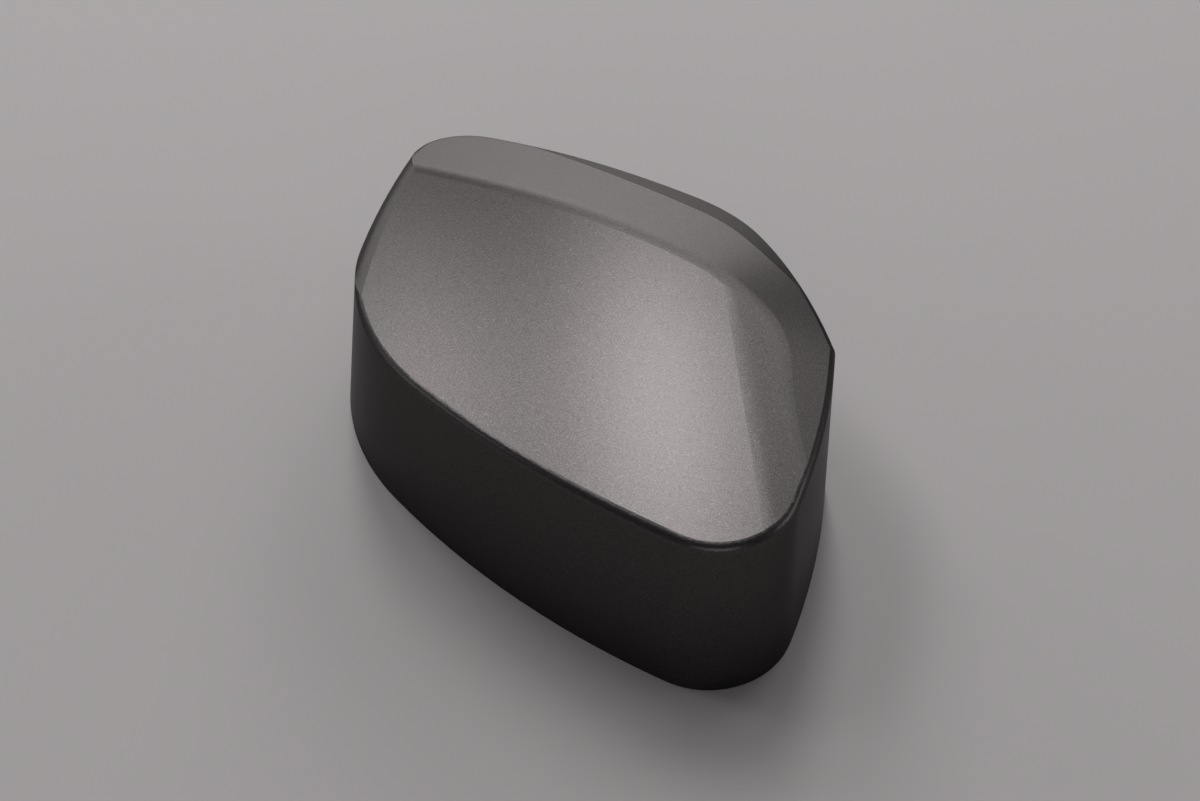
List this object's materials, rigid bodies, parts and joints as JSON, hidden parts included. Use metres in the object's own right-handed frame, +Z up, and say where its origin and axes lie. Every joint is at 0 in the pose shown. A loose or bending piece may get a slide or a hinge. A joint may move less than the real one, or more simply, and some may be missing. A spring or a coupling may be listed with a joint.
{
  "type": "wing mirror cover",
  "caption": "Crowned, moulded cap that snaps over the back of a wing mirror housing, with a drafted wall, a bevelled back band, and catch lugs and locating pins inside its open rim.",
  "frame": {"origin": "middle of the bounding box in plan, on the plane of the rim", "axes": "+X along the cover from its outer end to its inner end, +Y from the front edge to the banded back edge, +Z up out of the crowned face"},
  "size_m": [0.2288, 0.1458, 0.0784],
  "materials": {
    "satin_paint": "satin dark graphite metallic paint on moulded plastic"
  },
  "bodies": {
    "root": {"mirror_cover": "satin_paint"}
  },
  "joints": []
}
